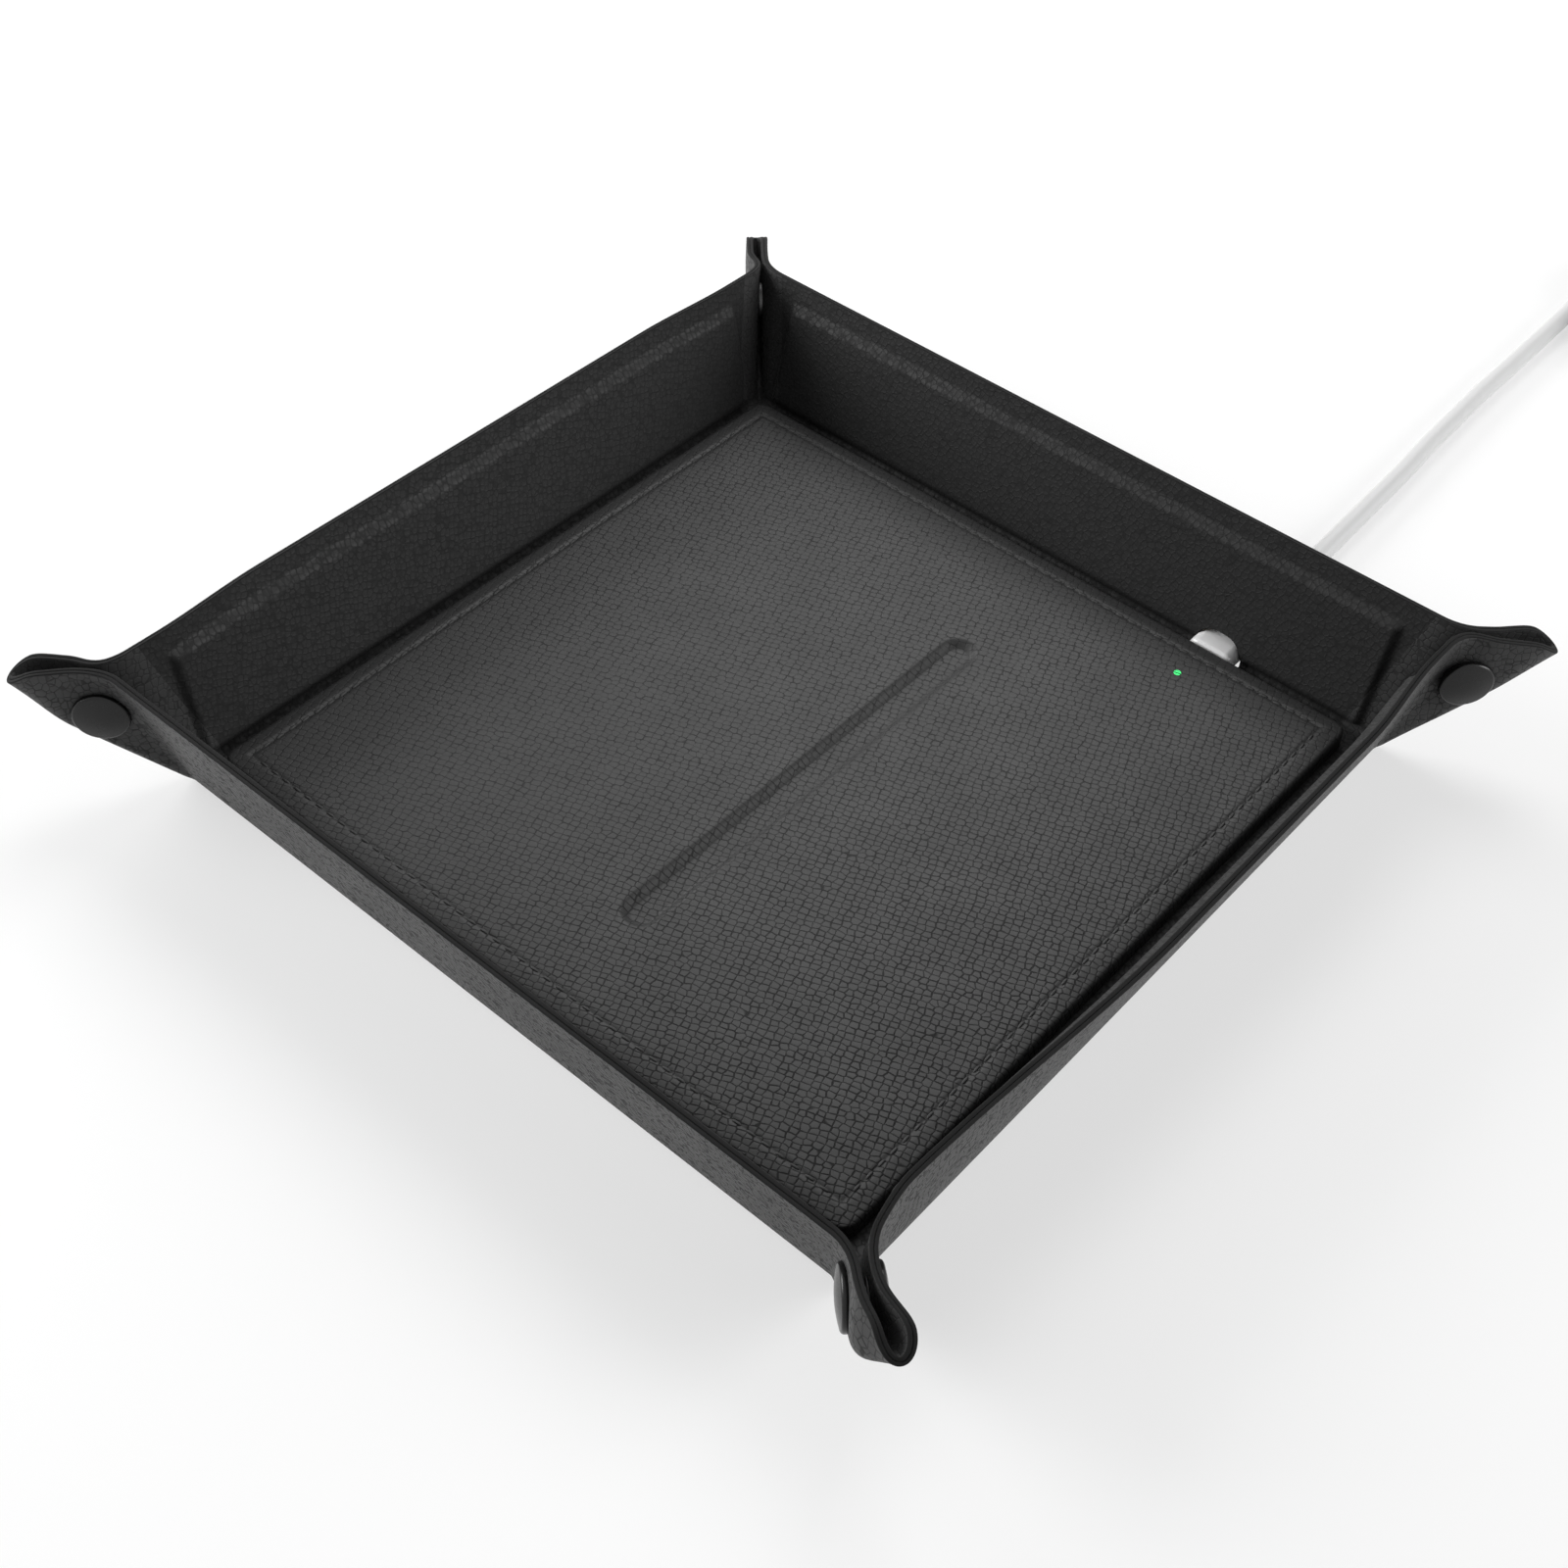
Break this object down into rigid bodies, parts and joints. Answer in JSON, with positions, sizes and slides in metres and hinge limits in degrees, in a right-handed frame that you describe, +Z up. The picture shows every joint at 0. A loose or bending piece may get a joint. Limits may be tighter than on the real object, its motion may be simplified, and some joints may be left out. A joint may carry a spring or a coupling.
{
  "type": "charging tray",
  "caption": "Square fold-flat leather valet tray with snapped corner ears, a stitched wireless charging pad with a pen groove, and a plug-in cable",
  "frame": {"origin": "centre of the tray's underside, between the four wall folds", "axes": "+X along the front wall to the right, +Y from the front wall to the back wall where the cable leaves, +Z up"},
  "size_m": [0.2506, 0.4765, 0.0355],
  "materials": {
    "leather": "black pebble-grained leather, satin",
    "lining": "black pebble-grained leather lining, satin",
    "cover": "black pebble-grained leather, stitched",
    "board": "plain greyboard",
    "pad_core": "pressed fibre board",
    "pad_plastic": "matt black",
    "copper": "lacquered copper wire",
    "ferrite": "matt dark grey",
    "circuit_board": "green solder mask",
    "component_plastic": "matt black",
    "light_pipe": "clear, lit green",
    "cap": "gloss black",
    "steel": "nickel plated",
    "white_plastic": "white, satin gloss",
    "cord_jacket": "smooth white jacket, satin"
  },
  "bodies": {
    "base": {"floor_outer_skin": "leather", "floor_lining": "lining", "pad_base": "pad_plastic", "pad_core": "pad_core", "pad_lid": "pad_plastic", "pad_cover": "cover", "charging_coil": "copper", "ferrite_disc": "ferrite", "circuit_board": "circuit_board", "board_components": "component_plastic", "usb_socket": "steel", "usb_socket_tongue": "component_plastic", "indicator_light_pipe": "light_pipe"},
    "front_wall": {"front_wall_skin": "leather", "front_wall_board": "board", "front_wall_lining": "lining"},
    "right_wall": {"right_wall_skin": "leather", "right_wall_board": "board", "right_wall_lining": "lining"},
    "back_wall": {"back_wall_skin": "leather", "back_wall_board": "board", "back_wall_lining": "lining"},
    "left_wall": {"left_wall_skin": "leather", "left_wall_board": "board", "left_wall_lining": "lining"},
    "front_right_ear": {"front_right_ear": "leather", "front_right_snap_cap": "cap", "front_right_snap_socket": "steel"},
    "front_left_ear": {"front_left_ear": "leather", "front_left_snap_cap": "cap", "front_left_snap_stud": "steel"},
    "right_back_ear": {"right_back_ear": "leather", "right_back_snap_cap": "cap", "right_back_snap_socket": "steel"},
    "right_front_ear": {"right_front_ear": "leather", "right_front_snap_cap": "cap", "right_front_snap_stud": "steel"},
    "back_left_ear": {"back_left_ear": "leather", "back_left_snap_cap": "cap", "back_left_snap_socket": "steel"},
    "back_right_ear": {"back_right_ear": "leather", "back_right_snap_cap": "cap", "back_right_snap_stud": "steel"},
    "left_front_ear": {"left_front_ear": "leather", "left_front_snap_cap": "cap", "left_front_snap_socket": "steel"},
    "left_back_ear": {"left_back_ear": "leather", "left_back_snap_cap": "cap", "left_back_snap_stud": "steel"},
    "cable": {"plug_shell": "steel", "plug_housing": "white_plastic", "plug_strain_relief": "cord_jacket", "cord": "cord_jacket", "cord_coil": "cord_jacket", "cord_tie": "component_plastic", "cord_tail": "cord_jacket", "far_strain_relief": "cord_jacket", "far_plug_housing": "white_plastic", "far_plug_shell": "steel"}
  },
  "joints": [
    {"name": "front_wall_fold", "type": "hinge", "parent": "base", "child": "front_wall", "pos_m": [0, -0.0965, 0.0009], "axis": [1, 0, 0], "range_deg": [0, 73.35]},
    {"name": "right_wall_fold", "type": "hinge", "parent": "base", "child": "right_wall", "pos_m": [0.0965, 0, 0.0009], "axis": [0, 1, 0], "range_deg": [0, 73.4]},
    {"name": "back_wall_fold", "type": "hinge", "parent": "base", "child": "back_wall", "pos_m": [0, 0.0965, 0.0009], "axis": [-1, 0, 0], "range_deg": [0, 73.4]},
    {"name": "left_wall_fold", "type": "hinge", "parent": "base", "child": "left_wall", "pos_m": [-0.0965, 0, 0.0009], "axis": [0, -1, 0], "range_deg": [0, 73.4]},
    {"name": "front_right_ear_fold", "type": "hinge", "parent": "front_wall", "child": "front_right_ear", "pos_m": [0.09381, -0.0965, 0.0009], "axis": [0.2754, -0.2754, 0.921], "range_deg": [0, 47.4]},
    {"name": "front_left_ear_fold", "type": "hinge", "parent": "front_wall", "child": "front_left_ear", "pos_m": [-0.09381, -0.0965, 0.0009], "axis": [0.2754, 0.2754, -0.921], "range_deg": [0, 47.4]},
    {"name": "right_back_ear_fold", "type": "hinge", "parent": "right_wall", "child": "right_back_ear", "pos_m": [0.0965, 0.09381, 0.0009], "axis": [0.2754, 0.2754, 0.921], "range_deg": [0, 47.4]},
    {"name": "right_front_ear_fold", "type": "hinge", "parent": "right_wall", "child": "right_front_ear", "pos_m": [0.0965, -0.09381, 0.0009], "axis": [-0.2754, 0.2754, -0.921], "range_deg": [0, 47.4]},
    {"name": "back_left_ear_fold", "type": "hinge", "parent": "back_wall", "child": "back_left_ear", "pos_m": [-0.09381, 0.0965, 0.0009], "axis": [-0.2754, 0.2754, 0.921], "range_deg": [0, 47.4]},
    {"name": "back_right_ear_fold", "type": "hinge", "parent": "back_wall", "child": "back_right_ear", "pos_m": [0.09381, 0.0965, 0.0009], "axis": [-0.2754, -0.2754, -0.921], "range_deg": [0, 47.4]},
    {"name": "left_front_ear_fold", "type": "hinge", "parent": "left_wall", "child": "left_front_ear", "pos_m": [-0.0965, -0.09381, 0.0009], "axis": [-0.2754, -0.2754, 0.921], "range_deg": [0, 47.4]},
    {"name": "left_back_ear_fold", "type": "hinge", "parent": "left_wall", "child": "left_back_ear", "pos_m": [-0.0965, 0.09381, 0.0009], "axis": [0.2754, -0.2754, -0.921], "range_deg": [0, 47.4]},
    {"name": "cable_unplug", "type": "slide", "parent": "base", "child": "cable", "axis": [0, 1, 0], "range_m": [0, 0.0885]}
  ],
  "couplings": [
    {"joint": "right_wall_fold", "follows": "front_wall_fold", "ratio": 1},
    {"joint": "back_wall_fold", "follows": "front_wall_fold", "ratio": 1},
    {"joint": "left_wall_fold", "follows": "front_wall_fold", "ratio": 1},
    {"joint": "front_right_ear_fold", "follows": "front_wall_fold", "ratio": 0.6456},
    {"joint": "front_left_ear_fold", "follows": "front_wall_fold", "ratio": 0.6456},
    {"joint": "right_back_ear_fold", "follows": "front_wall_fold", "ratio": 0.6456},
    {"joint": "right_front_ear_fold", "follows": "front_wall_fold", "ratio": 0.6456},
    {"joint": "back_left_ear_fold", "follows": "front_wall_fold", "ratio": 0.6456},
    {"joint": "back_right_ear_fold", "follows": "front_wall_fold", "ratio": 0.6456},
    {"joint": "left_front_ear_fold", "follows": "front_wall_fold", "ratio": 0.6456},
    {"joint": "left_back_ear_fold", "follows": "front_wall_fold", "ratio": 0.6456},
    {"joint": "cable_unplug", "follows": "front_wall_fold", "m_per_rad": 0.0687}
  ]
}
